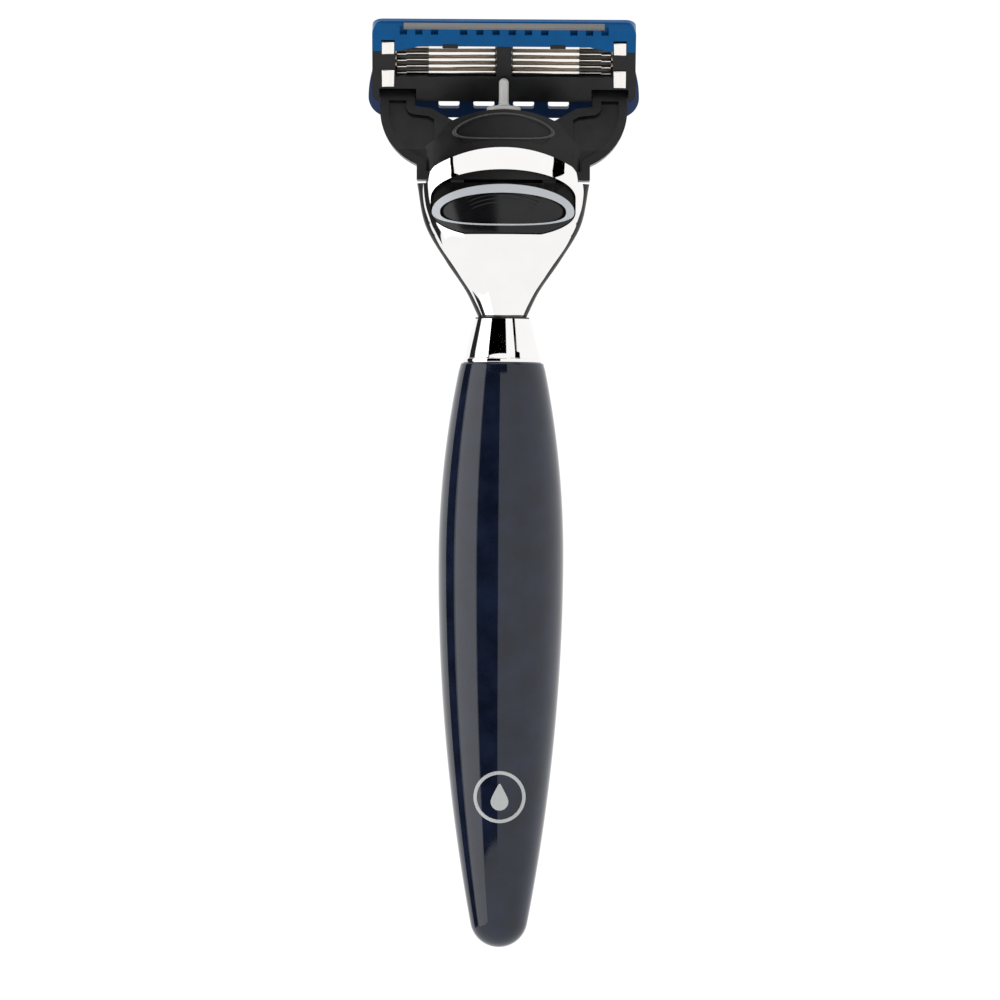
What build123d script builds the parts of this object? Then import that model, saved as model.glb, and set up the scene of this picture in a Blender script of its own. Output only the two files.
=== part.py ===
"""A cartridge razor, standing upright on its tip, in millimetres.

+Z runs up the handle to the cartridge, the back of the razor faces -Y, the blades face +Y
and slightly up, and X runs along the blades. The origin is the centre of the neck, where
the head seats on the ferrule and where the fork of a razor stand holds it.
"""

from build123d import *
import os
from math import asin, cos, degrees, hypot, radians, sin

os.makedirs("parts", exist_ok=True)


def save(piece, node):
    """Label a finished piece and write it as a node of its own."""
    piece.label = node
    export_step(piece, f"parts/{node}.step")


# ---------------------------------------------------------------- driving dimensions

# handle: a turned resin spindle on a brass insert
grip_length = 89.15
grip_belly_radius = 9.55
grip_belly_depth = 37.0
grip_shoulder_radius = 6.37
grip_tip_radius = 4.4
grip_edge_round = 0.3
insert_radius = 4.0
insert_length = 15.0
insert_ring_count = 5
insert_ring_depth = 0.3
glue_gap = 0.05

# stud, ferrule and washer between the handle and the head
stud_radius = 2.5
stud_chamfer = 0.4
stud_in_handle = 11.0
stud_in_head = 8.5
stud_gap = 0.05
ferrule_top_radius = 4.36
ferrule_bottom_radius = 6.07
ferrule_height = 6.7
ferrule_lip = 0.7
washer_thickness = 0.25
washer_radius = 4.1

# head: a black core between two chromed shells
core_stations = [(0.0, 3.7, 3.6), (4.0, 5.65, 3.8), (8.5, 8.7, 4.2), (14.0, 11.9, 4.5), (20.4, 13.2, 4.5)]
shell_stations = [
    (0.0, 3.3, 4.25),
    (4.0, 5.15, 5.2),
    (8.5, 8.2, 6.0),
    (14.0, 11.4, 6.6),
    (20.4, 12.7, 6.6),
    (27.0, 12.7, 5.9),
]
shell_crown_height = 25.8
shell_crown_end = 21.4
shell_front_height = 20.4
core_height = 20.4
nose_width = 21.0
nose_thickness = 5.4
nose_height = 6.8
lip_gap = 0.3

# button, slider and spring that push the cartridge off
button_width = 21.5
button_bottom = 12.7
button_height = 7.4
button_shoulder = 3.4
button_foot_width = 14.0
button_corner = 1.1
button_proud = 0.4
button_seat_half_width = 13.4
button_seat_depth = 4.35
button_dish_depth = 0.5
button_rim = 1.2
button_travel = 2.1
button_gap = 0.2
slider_width = 16.0
slider_bottom = 12.9
slider_height = 4.8
slider_front = 2.75
slider_thickness = 0.7
slider_gap = 0.1
prong_width = 2.0
prong_gap = 0.05
peg_radius = 1.0
peg_length = 1.6
button_spring_length = 4.9
button_spring_radius = 0.33
button_spring_wire = 0.07
button_spring_turns = 9

# plunger that holds the cartridge forward
plunger_tip_height = 36.55
plunger_stem_width = 1.48
plunger_tip_round = 0.7
plunger_flange_width = 5.2
plunger_flange_depth = 3.4
plunger_flange_top = 32.3
plunger_flange_thickness = 1.4
plunger_shank_radius = 1.5
plunger_shank_bottom = 21.0
plunger_gap = 0.1
plunger_spring_length = 9.0
plunger_spring_radius = 1.15
plunger_spring_wire = 0.17
plunger_spring_turns = 8

# yoke: the black connector that carries the cartridge on two arms
yoke_skirt_width = 26.4
yoke_skirt_thickness = 8.6
yoke_bottom = 20.9
yoke_socket_gap = 0.12
yoke_dome_height = 31.6
yoke_dome_half_width = 8.4
yoke_dome_drop = 2.0
yoke_valley_offset = 10.2
yoke_valley_height = 27.3
yoke_shoulder_height = 23.2
yoke_side_height = 25.0
yoke_span = 37.7
yoke_flare_height = 31.0
arm_thickness = 5.25
arm_back = 2.6
arm_front = 4.0
arm_root_height = 25.5
arm_web_start = 7.6
arm_web_height = 32.0
arm_web_run = 2.5
arm_web_drop = 2.0
arm_web_lift = 0.3
arm_panel_depth = 0.6
arm_panel_start = 10.6
arm_panel_top = 33.2
arm_rim = 1.3
pad_width = 15.4
pad_foot_width = 12.3
pad_bottom = 26.2
pad_top = 30.7
pad_shoulder = 1.8
pad_hollow = 0.7
pad_corner = 0.9
pad_depth = 0.3

# cartridge: where it sits, and how far it leans back
cartridge_tilt = 28.0
cartridge_back_y = 2.4
cartridge_back_z = 33.1
pivot_in = 1.7
pivot_up = 0.35
pivot_boss_radius = 1.1
pivot_pin_radius = 0.7
pivot_pin_reach = 0.75
pivot_gap = 0.05
pivot_side_gap = 0.2

housing_width = 40.2
housing_depth = 3.0
housing_face = 3.9
housing_top = 9.35
housing_corner = 1.2
housing_cheek_bottom = 3.95
arm_recess_height = 2.1
window_bottom = 4.1
window_top = 9.2
window_end = 16.6
rib_width = 2.3
blade_bay_depth = 2.2
blade_bay_bottom = 2.4
blade_bay_gap = 0.3
tongue_in = 0.9
tongue_out = 2.1
tongue_height = 1.6
fit_gap = 0.05

blade_count = 5
blade_pitch = 1.05
first_blade = 4.5
blade_length = 36.6
blade_width = 1.55
blade_thickness = 0.1
blade_bevel = 0.3
blade_travel = 0.15
support_length = 32.8
support_thickness = 0.2
support_root = 0.6
support_bend = 3.1
support_platform = 0.85
blade_angle = 21.0

clip_width = 1.95
clip_centre = 17.675
clip_thickness = 0.3
clip_round = 0.24
clip_bottom = 2.45
clip_top = 9.97
clip_lower_fold = 2.85
clip_upper_fold = 2.04

guard_width = 41.5
guard_depth = 1.0
guard_bottom = -4.1
guard_top = 2.2
guard_wing_top = 3.8
guard_corner = 3.4
guard_window_width = 3.2
guard_window_offsets = (3.05, 8.4)
guard_window_bottom = -2.55
guard_window_top = -1.2
guard_window_corner = 0.4
fin_count = 8
fin_pitch = 0.4
fin_height = 0.35
fin_thickness = 0.2
fin_length = 35.0
fin_base = 0.2
fin_bottom = -1.0

cap_skin = 0.3
cap_skirt_drop = 0.85
cap_skirt_start = 12.7
cap_skirt_end = 16.5
cap_shelf_back = 12.05
cap_shelf_front = 12.7
cap_ridge_back = 0.95
cap_ridge_front = 1.9
cap_ridge_height = 12.95
cap_nose_in = 4.6
cap_nose_height = 9.95
cap_corner = 1.6
cap_clip_notch = 10.4
trimmer_length = 30.6
trimmer_width = 1.2
trimmer_thickness = 0.12
trimmer_bevel_depth = 0.1
trimmer_bevel_width = 0.3
comb_slot_width = 1.1
comb_slot_bottom = 11.25
comb_slot_depth = 0.8
comb_slot_offsets = (1.24, 3.70, 6.17, 10.6, 13.0, 15.35)
strip_length = 33.0
strip_width = 2.8
strip_thickness = 0.75
strip_proud = 0.25
strip_round = 0.2

# ---------------------------------------------------------------- planes of the cartridge

tilt = radians(cartridge_tilt)
inward = Vector(0, cos(tilt), sin(tilt))
upward = Vector(0, -sin(tilt), cos(tilt))
cartridge_origin = Vector(0, cartridge_back_y, cartridge_back_z)
pivot_centre = cartridge_origin + inward * pivot_in + upward * pivot_up
section = Plane(origin=cartridge_origin, x_dir=inward, z_dir=(1, 0, 0))
back = Plane(origin=cartridge_origin, x_dir=(1, 0, 0), z_dir=inward * -1)


def on_cartridge(across, up, deep):
    """The plane parallel to the cartridge's back at an X, a height up it and a depth into it."""
    return Plane(
        origin=cartridge_origin + upward * up + inward * deep + Vector(across, 0, 0),
        x_dir=(1, 0, 0),
        z_dir=inward * -1,
    )


# ---------------------------------------------------------------- handle grip

neck_bottom = -washer_thickness - ferrule_height
grip_tip = neck_bottom - grip_length
tip_centre = grip_tip + grip_tip_radius
belly_drop = -grip_belly_depth - tip_centre
belly_arc = (belly_drop**2 + grip_belly_radius**2 - grip_tip_radius**2) / (
    2 * (grip_belly_radius - grip_tip_radius)
)
belly_turn = degrees(asin(belly_drop / (belly_arc - grip_tip_radius)))

with BuildPart() as handle_grip:
    with BuildSketch(Plane.XZ):
        with BuildLine():
            lower = JernArc((grip_belly_radius, -grip_belly_depth), (0, -1), belly_arc, -belly_turn)
            tip = JernArc(lower @ 1, lower % 1, grip_tip_radius, belly_turn - 90)
            upper = TangentArc(
                (grip_belly_radius, -grip_belly_depth), (grip_shoulder_radius, neck_bottom), tangent=(0, 1)
            )
            Polyline(upper @ 1, (0, neck_bottom), (0, grip_tip))
        make_face()
    revolve(axis=Axis.Z)
    fillet(handle_grip.edges().filter_by(GeomType.CIRCLE).group_by(Axis.Z)[-1], grip_edge_round)
    with Locations((0, 0, neck_bottom)):
        Hole(insert_radius + glue_gap, depth=insert_length + glue_gap)
save(handle_grip.part, "handle_grip")

# ---------------------------------------------------------------- brass insert, ribbed and tapped

with BuildPart() as grip_insert:
    with BuildSketch(Plane.XY.offset(neck_bottom)):
        Circle(insert_radius)
        Circle(stud_radius + stud_gap, mode=Mode.SUBTRACT)
    extrude(amount=-insert_length)
    ring_pitch = insert_length / (insert_ring_count + 1)
    for ring in range(1, insert_ring_count + 1):
        with BuildSketch(Plane.XY.offset(neck_bottom - ring * ring_pitch)):
            Circle(insert_radius)
            Circle(insert_radius - insert_ring_depth, mode=Mode.SUBTRACT)
        extrude(amount=ring_pitch / 2, mode=Mode.SUBTRACT)
save(grip_insert.part, "grip_insert")

# ---------------------------------------------------------------- threaded stud

stud_bottom = neck_bottom - stud_in_handle
with BuildPart() as stud:
    with BuildSketch(Plane.XY.offset(stud_bottom)):
        Circle(stud_radius)
    extrude(amount=stud_in_head - stud_bottom)
    chamfer(stud.edges().filter_by(GeomType.CIRCLE), stud_chamfer)
save(stud.part, "threaded_stud")

# ---------------------------------------------------------------- ferrule and washer

with BuildPart() as ferrule:
    with BuildSketch(Plane.XZ):
        with BuildLine():
            Polyline(
                (stud_radius + stud_gap, neck_bottom),
                (ferrule_bottom_radius, neck_bottom),
                (ferrule_bottom_radius, neck_bottom + ferrule_lip),
                (ferrule_top_radius, -washer_thickness),
                (stud_radius + stud_gap, -washer_thickness),
                close=True,
            )
        make_face()
    revolve(axis=Axis.Z)
    fillet(ferrule.edges().filter_by(GeomType.CIRCLE).group_by(SortBy.RADIUS)[-1], ferrule_lip / 3)
save(ferrule.part, "ferrule")

with BuildPart() as neck_washer:
    with BuildSketch(Plane.XY.offset(-washer_thickness)):
        Circle(washer_radius)
        Circle(stud_radius + stud_gap, mode=Mode.SUBTRACT)
    extrude(amount=washer_thickness)
save(neck_washer.part, "neck_washer")

# ---------------------------------------------------------------- head core


def elliptic_form(stations):
    """The solid that runs smoothly through ellipses given as (height, half width, half depth)."""
    with BuildPart(mode=Mode.PRIVATE) as form:
        for height, half_width, half_depth in stations:
            with BuildSketch(Plane.XY.offset(height)):
                Ellipse(half_width, half_depth)
        loft()
    return form.part


def elliptic_prism(half_width, half_depth, low, high):
    """An upright elliptic bar between two heights."""
    with BuildPart(mode=Mode.PRIVATE) as bar:
        with BuildSketch(Plane.XY.offset(low)):
            Ellipse(half_width, half_depth)
        extrude(amount=high - low)
    return bar.part


def button_outline(growth):
    """The button's outline from behind, grown all round."""
    with BuildSketch(Plane.XZ, mode=Mode.PRIVATE) as outline:
        with BuildLine():
            crown = ThreePointArc(
                (-button_width / 2, button_bottom + button_shoulder),
                (0, button_bottom + button_height),
                (button_width / 2, button_bottom + button_shoulder),
            )
            Polyline(
                crown @ 1,
                (button_foot_width / 2, button_bottom),
                (-button_foot_width / 2, button_bottom),
                crown @ 0,
            )
        make_face()
        fillet(outline.vertices(), button_corner)
        if growth != 0:
            offset(amount=growth)
    return outline.sketch


def grown(stations, growth):
    """The same ellipses, each grown by as much in width and in depth."""
    return [(height, half_width + growth, half_depth + growth) for height, half_width, half_depth in stations]


core_form = elliptic_form(core_stations)
shell_form = elliptic_form(shell_stations)
head_reach = 10.0
spring_seat = slider_bottom + slider_height + button_travel + slider_gap
peg_height = slider_bottom + slider_height / 2
button_opening = button_outline(button_gap)
button_seat = elliptic_prism(button_seat_half_width, button_seat_depth, 0, shell_crown_height)

with BuildPart() as button_sweep:
    with BuildSketch(Plane.XZ):
        add(button_opening)
        add(button_opening.moved(Location((0, 0, button_travel))))
        make_hull()
    extrude(amount=head_reach)
    add(button_seat, mode=Mode.SUBTRACT)

with BuildPart() as slider_cavity:
    with Locations((0, -slider_front + slider_gap, slider_bottom - slider_gap)):
        Box(
            slider_width + 2 * slider_gap,
            slider_thickness + 2 * slider_gap,
            spring_seat - slider_bottom + slider_gap,
            align=(Align.CENTER, Align.MAX, Align.MIN),
        )
    with Locations((0, -slider_front, peg_height - peg_radius - slider_gap)):
        Box(
            2 * (peg_radius + slider_gap),
            head_reach,
            2 * (peg_radius + slider_gap) + button_travel,
            align=(Align.CENTER, Align.MAX, Align.MIN),
        )
    for hand in (-1, 1):
        with Locations((hand * (slider_width - prong_width) / 2, -slider_front + slider_gap, slider_bottom)):
            Box(
                prong_width + 2 * slider_gap,
                slider_thickness + 2 * slider_gap,
                core_height,
                align=(Align.CENTER, Align.MAX, Align.MIN),
            )

with BuildPart() as head_core:
    add(core_form)
    with BuildSketch(Plane.XY.offset(core_height)):
        SlotOverall(nose_width, nose_thickness)
    extrude(amount=nose_height)
    add(button_sweep.part, mode=Mode.SUBTRACT)
    add(slider_cavity.part, mode=Mode.SUBTRACT)
    Cylinder(stud_radius + stud_gap, 2 * (stud_in_head + stud_gap), mode=Mode.SUBTRACT)
    with Locations((0, 0, plunger_shank_bottom - plunger_spring_length)):
        Cylinder(
            plunger_shank_radius + plunger_gap,
            core_height + nose_height,
            align=(Align.CENTER, Align.CENTER, Align.MIN),
            mode=Mode.SUBTRACT,
        )
save(head_core.part, "head_core")

# ---------------------------------------------------------------- chromed shells

skirt_clearance = elliptic_prism(
    yoke_skirt_width / 2 + lip_gap, yoke_skirt_thickness / 2 + lip_gap, core_height, 2 * core_height
)

with BuildPart() as head_shell_rear:
    add(shell_form)
    split(bisect_by=Plane.XZ, keep=Keep.TOP)
    with BuildSketch(Plane.XZ):
        with BuildLine():
            half_width = shell_stations[-1][1]
            crown = ThreePointArc(
                (-half_width, shell_crown_end), (0, shell_crown_height), (half_width, shell_crown_end)
            )
            Polyline(crown @ 1, (half_width, 0), (-half_width, 0), crown @ 0)
        make_face()
    extrude(amount=head_reach, mode=Mode.INTERSECT)
    add(core_form, mode=Mode.SUBTRACT)
    add(skirt_clearance, mode=Mode.SUBTRACT)
    with Locations((0, -arm_back - lip_gap, core_height)):
        Box(yoke_span, head_reach, core_height, align=(Align.CENTER, Align.MIN, Align.MIN), mode=Mode.SUBTRACT)
    add(button_sweep.part, mode=Mode.SUBTRACT)
    add(slider_cavity.part, mode=Mode.SUBTRACT)
save(head_shell_rear.part, "head_shell_rear")

with BuildPart() as head_shell_front:
    add(shell_form)
    split(bisect_by=Plane.XZ, keep=Keep.BOTTOM)
    split(bisect_by=Plane.XY.offset(shell_front_height), keep=Keep.BOTTOM)
    add(core_form, mode=Mode.SUBTRACT)
save(head_shell_front.part, "head_shell_front")

# ---------------------------------------------------------------- eject button and its slider

button_edge = button_outline(0)
dish_edge = button_outline(-button_rim)
button_form = elliptic_form(grown(shell_stations, button_proud))
dish_form = elliptic_form(grown(shell_stations, button_proud - button_dish_depth))
button_back = elliptic_prism(
    button_seat_half_width + slider_gap, button_seat_depth + slider_gap, 0, shell_crown_height
)

with BuildPart() as button_dish:
    with BuildSketch(Plane.XZ):
        add(dish_edge)
    extrude(amount=head_reach)
    add(dish_form, mode=Mode.SUBTRACT)

with BuildPart() as ejector_button:
    with BuildSketch(Plane.XZ):
        add(button_edge)
    extrude(amount=head_reach)
    add(button_form, mode=Mode.INTERSECT)
    add(button_back, mode=Mode.SUBTRACT)
    add(button_dish.part, mode=Mode.SUBTRACT)
    with Locations(Plane(origin=(0, 0, peg_height), z_dir=(0, -1, 0))):
        Cylinder(
            peg_radius + fit_gap,
            slider_front + slider_thickness + peg_length + fit_gap,
            align=(Align.CENTER, Align.CENTER, Align.MIN),
            mode=Mode.SUBTRACT,
        )
save(ejector_button.part, "ejector_button")

with BuildPart() as ejector_slider:
    with Locations((0, -slider_front, slider_bottom)):
        Box(slider_width, slider_thickness, slider_height, align=(Align.CENTER, Align.MAX, Align.MIN))
    for hand in (-1, 1):
        with Locations((hand * (slider_width - prong_width) / 2, -slider_front, slider_bottom)):
            Box(
                prong_width,
                slider_thickness,
                yoke_bottom - prong_gap - slider_bottom,
                align=(Align.CENTER, Align.MAX, Align.MIN),
            )
    with Locations(Plane(origin=(0, -slider_front, peg_height), z_dir=(0, -1, 0))):
        Cylinder(peg_radius, slider_thickness + peg_length, align=(Align.CENTER, Align.CENTER, Align.MIN))
    with Locations((0, -slider_front, spring_seat - button_spring_length - slider_gap)):
        Box(
            2 * (button_spring_radius + button_spring_wire + slider_gap),
            slider_thickness,
            button_spring_length + slider_gap,
            align=(Align.CENTER, Align.MAX, Align.MIN),
            mode=Mode.SUBTRACT,
        )
save(ejector_slider.part, "ejector_slider")


def coil_spring(foot, length, radius, wire, turns):
    """A closed coil of round wire that stands on its foot, an upright helix between two heights."""
    with BuildPart(mode=Mode.PRIVATE) as coil:
        with BuildLine():
            centre_line = Helix((length - 2 * wire) / turns, length - 2 * wire, radius, center=foot)
        with BuildSketch(Plane(origin=centre_line @ 0, z_dir=centre_line % 0)):
            Circle(wire)
        sweep(is_frenet=True)
    return coil.part


button_spring = coil_spring(
    (0, -slider_front - slider_thickness / 2, spring_seat - button_spring_length + button_spring_wire),
    button_spring_length,
    button_spring_radius,
    button_spring_wire,
    button_spring_turns,
)
save(button_spring, "button_spring")

# ---------------------------------------------------------------- plunger and its spring

flange_bottom = plunger_flange_top - plunger_flange_thickness
with BuildPart() as plunger:
    with BuildSketch(Plane.XY.offset(plunger_shank_bottom)):
        Circle(plunger_shank_radius)
    extrude(amount=flange_bottom - plunger_shank_bottom)
    with BuildSketch(Plane.XY.offset(flange_bottom)):
        Ellipse(plunger_flange_width / 2, plunger_flange_depth / 2)
    extrude(amount=plunger_flange_thickness)
    with BuildSketch(Plane.XY.offset(plunger_flange_top)):
        Circle(plunger_stem_width / 2)
    extrude(amount=plunger_tip_height - plunger_flange_top)
    fillet(plunger.edges().filter_by(GeomType.CIRCLE).sort_by(Axis.Z)[-1], plunger_tip_round)
save(plunger.part, "plunger")

plunger_spring = coil_spring(
    (0, 0, plunger_shank_bottom - plunger_spring_length + plunger_spring_wire),
    plunger_spring_length,
    plunger_spring_radius,
    plunger_spring_wire,
    plunger_spring_turns,
)
save(plunger_spring, "plunger_spring")

# ---------------------------------------------------------------- yoke

arm_outer = yoke_span / 2
arm_inner = arm_outer - arm_thickness
skirt_half = yoke_skirt_width / 2
socket_top = core_height + nose_height + yoke_socket_gap
boss_top = pivot_centre.Z + 2 * pivot_boss_radius

with BuildSketch(Plane.YZ.offset(arm_web_start)) as arm_profile:
    with Locations((pivot_centre.Y, pivot_centre.Z)):
        Circle(pivot_boss_radius)
    with Locations(((arm_front - arm_back) / 2, (yoke_bottom + arm_root_height) / 2)):
        Rectangle(arm_front + arm_back, arm_root_height - yoke_bottom)
    make_hull()

with BuildSketch(Plane.XZ.offset(-head_reach)) as arm_outline:
    with BuildLine():
        flare = TangentArc(
            (arm_outer, yoke_flare_height), (skirt_half, yoke_shoulder_height), tangent=(-0.08, -1)
        )
        Polyline(
            flare @ 1,
            (skirt_half, yoke_bottom),
            (arm_web_start, yoke_bottom),
            (arm_web_start, arm_web_height - arm_web_drop),
            (arm_inner - arm_web_run, arm_web_height),
            (arm_inner, arm_web_height + arm_web_lift),
            (arm_inner, boss_top),
            (arm_outer, boss_top),
            (arm_outer, yoke_flare_height),
        )
    make_face()

arm_floor = extrude(
    arm_profile.sketch.moved(Location((0, arm_panel_depth, 0))), amount=arm_outer, dir=(1, 0, 0)
)

with BuildPart() as arm_panel:
    with BuildSketch(Plane.XZ.offset(-head_reach)):
        add(arm_outline.sketch)
        offset(amount=-arm_rim)
        with Locations((arm_panel_start, yoke_bottom)):
            Rectangle(arm_outer, arm_panel_top - yoke_bottom, align=Align.MIN, mode=Mode.INTERSECT)
    extrude(amount=2 * head_reach)
    add(arm_floor, mode=Mode.SUBTRACT)

with BuildPart() as arm:
    extrude(arm_profile.sketch, amount=arm_outer - arm_web_start, dir=(1, 0, 0))
    extrude(arm_outline.sketch, amount=2 * head_reach, dir=(0, -1, 0), mode=Mode.INTERSECT)
    add(arm_panel.part, mode=Mode.SUBTRACT)
    with Locations(Plane.YZ.offset(arm_inner - pivot_pin_reach)):
        with Locations((pivot_centre.Y, pivot_centre.Z)):
            Cylinder(
                pivot_pin_radius,
                arm_thickness + 2 * pivot_pin_reach,
                align=(Align.CENTER, Align.CENTER, Align.MIN),
            )

skirt_bar = elliptic_prism(skirt_half, yoke_skirt_thickness / 2, yoke_bottom, yoke_dome_height)
pad_floor = elliptic_prism(
    skirt_half - pad_depth, yoke_skirt_thickness / 2 - pad_depth, yoke_bottom, yoke_dome_height
)

with BuildPart() as pad_recess:
    with BuildSketch(Plane.XZ):
        with BuildLine():
            pad_half = pad_width / 2
            over = ThreePointArc(
                (-pad_half, pad_bottom + pad_shoulder), (0, pad_top), (pad_half, pad_bottom + pad_shoulder)
            )
            under = ThreePointArc(
                (pad_foot_width / 2, pad_bottom), (0, pad_bottom + pad_hollow), (-pad_foot_width / 2, pad_bottom)
            )
            Polyline(over @ 1, under @ 0)
            Polyline(under @ 1, over @ 0)
        make_face()
        fillet(vertices(), pad_corner)
    extrude(amount=head_reach)
    add(pad_floor, mode=Mode.SUBTRACT)

with BuildPart() as yoke:
    add(skirt_bar)
    with BuildSketch(Plane.XZ.offset(-head_reach)):
        with BuildLine():
            dome = ThreePointArc(
                (-yoke_dome_half_width, yoke_dome_height - yoke_dome_drop),
                (0, yoke_dome_height),
                (yoke_dome_half_width, yoke_dome_height - yoke_dome_drop),
            )
            Polyline(
                dome @ 1,
                (yoke_valley_offset, yoke_valley_height),
                (skirt_half, yoke_side_height),
                (skirt_half, yoke_bottom),
                (-skirt_half, yoke_bottom),
                (-skirt_half, yoke_side_height),
                (-yoke_valley_offset, yoke_valley_height),
                dome @ 0,
            )
        make_face()
    extrude(amount=2 * head_reach, mode=Mode.INTERSECT)
    add(arm.part)
    add(arm.part.mirror(Plane.YZ))
    with BuildSketch(Plane.XY.offset(yoke_bottom)):
        SlotOverall(nose_width + 2 * yoke_socket_gap, nose_thickness + 2 * yoke_socket_gap)
    extrude(amount=socket_top - yoke_bottom, mode=Mode.SUBTRACT)
    with BuildSketch(Plane.XY.offset(socket_top)):
        Ellipse(plunger_flange_width / 2 + plunger_gap, plunger_flange_depth / 2 + plunger_gap)
    extrude(amount=yoke_dome_height - socket_top, mode=Mode.SUBTRACT)
    add(pad_recess.part, mode=Mode.SUBTRACT)
save(yoke.part, "yoke")

# ---------------------------------------------------------------- cartridge housing

housing_half = housing_width / 2
bay_half = blade_length / 2 + blade_bay_gap
clip_slot_width = clip_width + 2 * fit_gap
clip_slot_height = clip_thickness + 2 * fit_gap
bore_outer = arm_outer + pivot_pin_reach + 2 * pivot_gap
bore_inner = arm_inner - pivot_pin_reach - 2 * pivot_gap

with BuildPart() as housing:
    with BuildSketch(back):
        Rectangle(housing_width, housing_top, align=(Align.CENTER, Align.MIN))
        fillet(vertices().sort_by(Axis.Y)[:2], housing_corner)
    extrude(amount=-housing_depth)
    with Locations(on_cartridge(0, housing_top, tongue_in)):
        Box(
            housing_width - 2 * housing_corner,
            tongue_height,
            tongue_out - tongue_in,
            align=(Align.CENTER, Align.MIN, Align.MAX),
        )
    for hand in (-1, 1):
        with Locations(on_cartridge(hand * (housing_half + bay_half) / 2, housing_cheek_bottom, housing_depth)):
            Box(
                housing_half - bay_half,
                housing_top - housing_cheek_bottom,
                housing_face - housing_depth,
                align=(Align.CENTER, Align.MIN, Align.MAX),
            )
    with Locations(on_cartridge(0, blade_bay_bottom, blade_bay_depth)):
        Box(
            2 * bay_half,
            window_top - blade_bay_bottom,
            housing_depth,
            align=(Align.CENTER, Align.MIN, Align.MAX),
            mode=Mode.SUBTRACT,
        )
    for hand in (-1, 1):
        with Locations(on_cartridge(hand * (window_end + rib_width / 2) / 2, window_bottom, -cap_skin)):
            Box(
                window_end - rib_width / 2,
                window_top - window_bottom,
                housing_depth + cap_skin,
                align=(Align.CENTER, Align.MIN, Align.MAX),
                mode=Mode.SUBTRACT,
            )
        with Locations(on_cartridge(hand * (arm_inner + arm_outer) / 2, -pivot_side_gap, -cap_skin)):
            Box(
                arm_thickness + 2 * pivot_side_gap,
                arm_recess_height + pivot_side_gap,
                2 * housing_depth,
                align=(Align.CENTER, Align.MIN, Align.MAX),
                mode=Mode.SUBTRACT,
            )
        for up in (clip_bottom, clip_top - clip_thickness):
            with Locations(on_cartridge(hand * clip_centre, up - fit_gap, -cap_skin)):
                Box(
                    clip_slot_width,
                    clip_slot_height,
                    2 * housing_depth,
                    align=(Align.CENTER, Align.MIN, Align.MAX),
                    mode=Mode.SUBTRACT,
                )
        with Locations(Plane.YZ.offset(hand * (bore_inner + bore_outer) / 2)):
            with Locations((pivot_centre.Y, pivot_centre.Z)):
                Cylinder(pivot_pin_radius + pivot_gap, bore_outer - bore_inner, mode=Mode.SUBTRACT)
save(housing.part, "housing")

# ---------------------------------------------------------------- blades on their bent supports

blade_lean = radians(blade_angle)
along_blade = (sin(blade_lean), -cos(blade_lean))
off_blade = (cos(blade_lean), sin(blade_lean))
support_half = support_thickness / 2
bend_shift = support_half * (1 - sin(blade_lean)) / cos(blade_lean)


def in_section(start, along, off):
    """A point of the section reached from start by going along the blade and off its face."""
    return (
        start[0] + along * along_blade[0] + off * off_blade[0],
        start[1] + along * along_blade[1] + off * off_blade[1],
    )


for index in range(blade_count):
    bend = (support_bend, first_blade + index * blade_pitch)

    with BuildPart() as blade_support:
        with BuildSketch(section):
            with BuildLine():
                Polyline(
                    (support_root, bend[1] - support_half),
                    (bend[0] - bend_shift, bend[1] - support_half),
                    in_section(bend, support_platform, -support_half),
                    in_section(bend, support_platform, support_half),
                    (bend[0] + bend_shift, bend[1] + support_half),
                    (support_root, bend[1] + support_half),
                    close=True,
                )
            make_face()
        extrude(amount=support_length / 2, both=True)
        with Locations(on_cartridge(0, bend[1], 0)):
            Box(
                rib_width + 2 * fit_gap,
                2 * blade_pitch,
                blade_bay_depth + blade_travel + fit_gap,
                align=(Align.CENTER, Align.CENTER, Align.MAX),
                mode=Mode.SUBTRACT,
            )
    save(blade_support.part, f"blade_support_{index + 1}")

    with BuildPart() as blade:
        with BuildSketch(section):
            with BuildLine():
                Polyline(
                    in_section(bend, support_half, support_half),
                    in_section(bend, support_half + blade_width, support_half),
                    in_section(bend, support_half + blade_width - blade_bevel, support_half + blade_thickness),
                    in_section(bend, support_half, support_half + blade_thickness),
                    close=True,
                )
            make_face()
        extrude(amount=blade_length / 2, both=True)
    save(blade.part, f"blade_{index + 1}")

# ---------------------------------------------------------------- clips

strap_deep = housing_face + fit_gap


def height_of(edge):
    """How far up the cartridge an edge's centre lies."""
    return (edge.center() - cartridge_origin).dot(upward)


for side_name, hand in (("left", -1), ("right", 1)):
    with BuildPart() as clip:
        with BuildSketch(section.offset(hand * clip_centre)):
            with BuildLine():
                Polyline(
                    (-clip_thickness, clip_bottom + clip_lower_fold),
                    (-clip_thickness, clip_bottom),
                    (strap_deep + clip_thickness, clip_bottom),
                    (strap_deep + clip_thickness, clip_top),
                    (-clip_thickness, clip_top),
                    (-clip_thickness, clip_top - clip_upper_fold),
                    (0, clip_top - clip_upper_fold),
                    (0, clip_top - clip_thickness),
                    (strap_deep, clip_top - clip_thickness),
                    (strap_deep, clip_bottom + clip_thickness),
                    (0, clip_bottom + clip_thickness),
                    (0, clip_bottom + clip_lower_fold),
                    close=True,
                )
            make_face()
        extrude(amount=clip_width / 2, both=True)
        outer_edges = [
            edge
            for edge in clip.edges().filter_by(Axis.X)
            if min(abs(height_of(edge) - clip_bottom), abs(height_of(edge) - clip_top)) < fit_gap
        ]
        fillet(outer_edges, clip_round)
    save(clip.part, f"clip_{side_name}")

# ---------------------------------------------------------------- guard and its soft fins

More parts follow.
